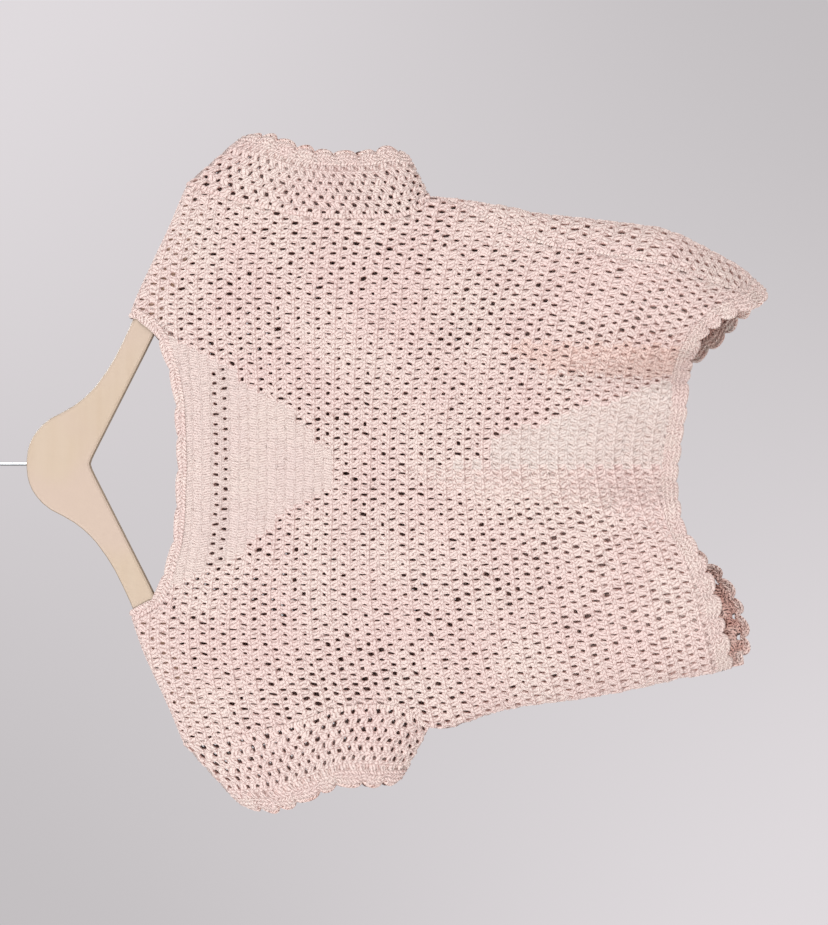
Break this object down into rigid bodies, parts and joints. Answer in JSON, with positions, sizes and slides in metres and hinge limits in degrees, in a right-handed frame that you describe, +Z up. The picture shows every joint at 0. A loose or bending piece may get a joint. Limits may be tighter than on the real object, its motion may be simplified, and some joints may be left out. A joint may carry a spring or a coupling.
{
  "type": "crochet top on a clothes hanger",
  "caption": "Short-sleeved openwork crochet top with scalloped neck, cuffs and hem, hanging on a wooden hanger with a wire hook.",
  "frame": {"origin": "inside of the hook's crown, where a rail holds the hanger", "axes": "+X to the right as seen from the front, the front faces -Y, +Z up along the hook"},
  "size_m": [0.5403, 0.0984, 0.6492],
  "materials": {
    "crochet": "matt cotton crochet, pale dusty pink",
    "edging": "matt cotton crochet, pale dusty pink",
    "wood": "pale varnished wood, satin",
    "hook": "plain steel wire"
  },
  "bodies": {
    "root": {"front_panel": "crochet", "back_panel": "crochet", "sleeve_left": "crochet", "sleeve_right": "crochet", "neck_edging": "edging", "cuff_edging_left": "edging", "cuff_edging_right": "edging", "hem_edging": "edging", "hanger_body": "wood", "hanger_hook": "hook"}
  },
  "joints": []
}
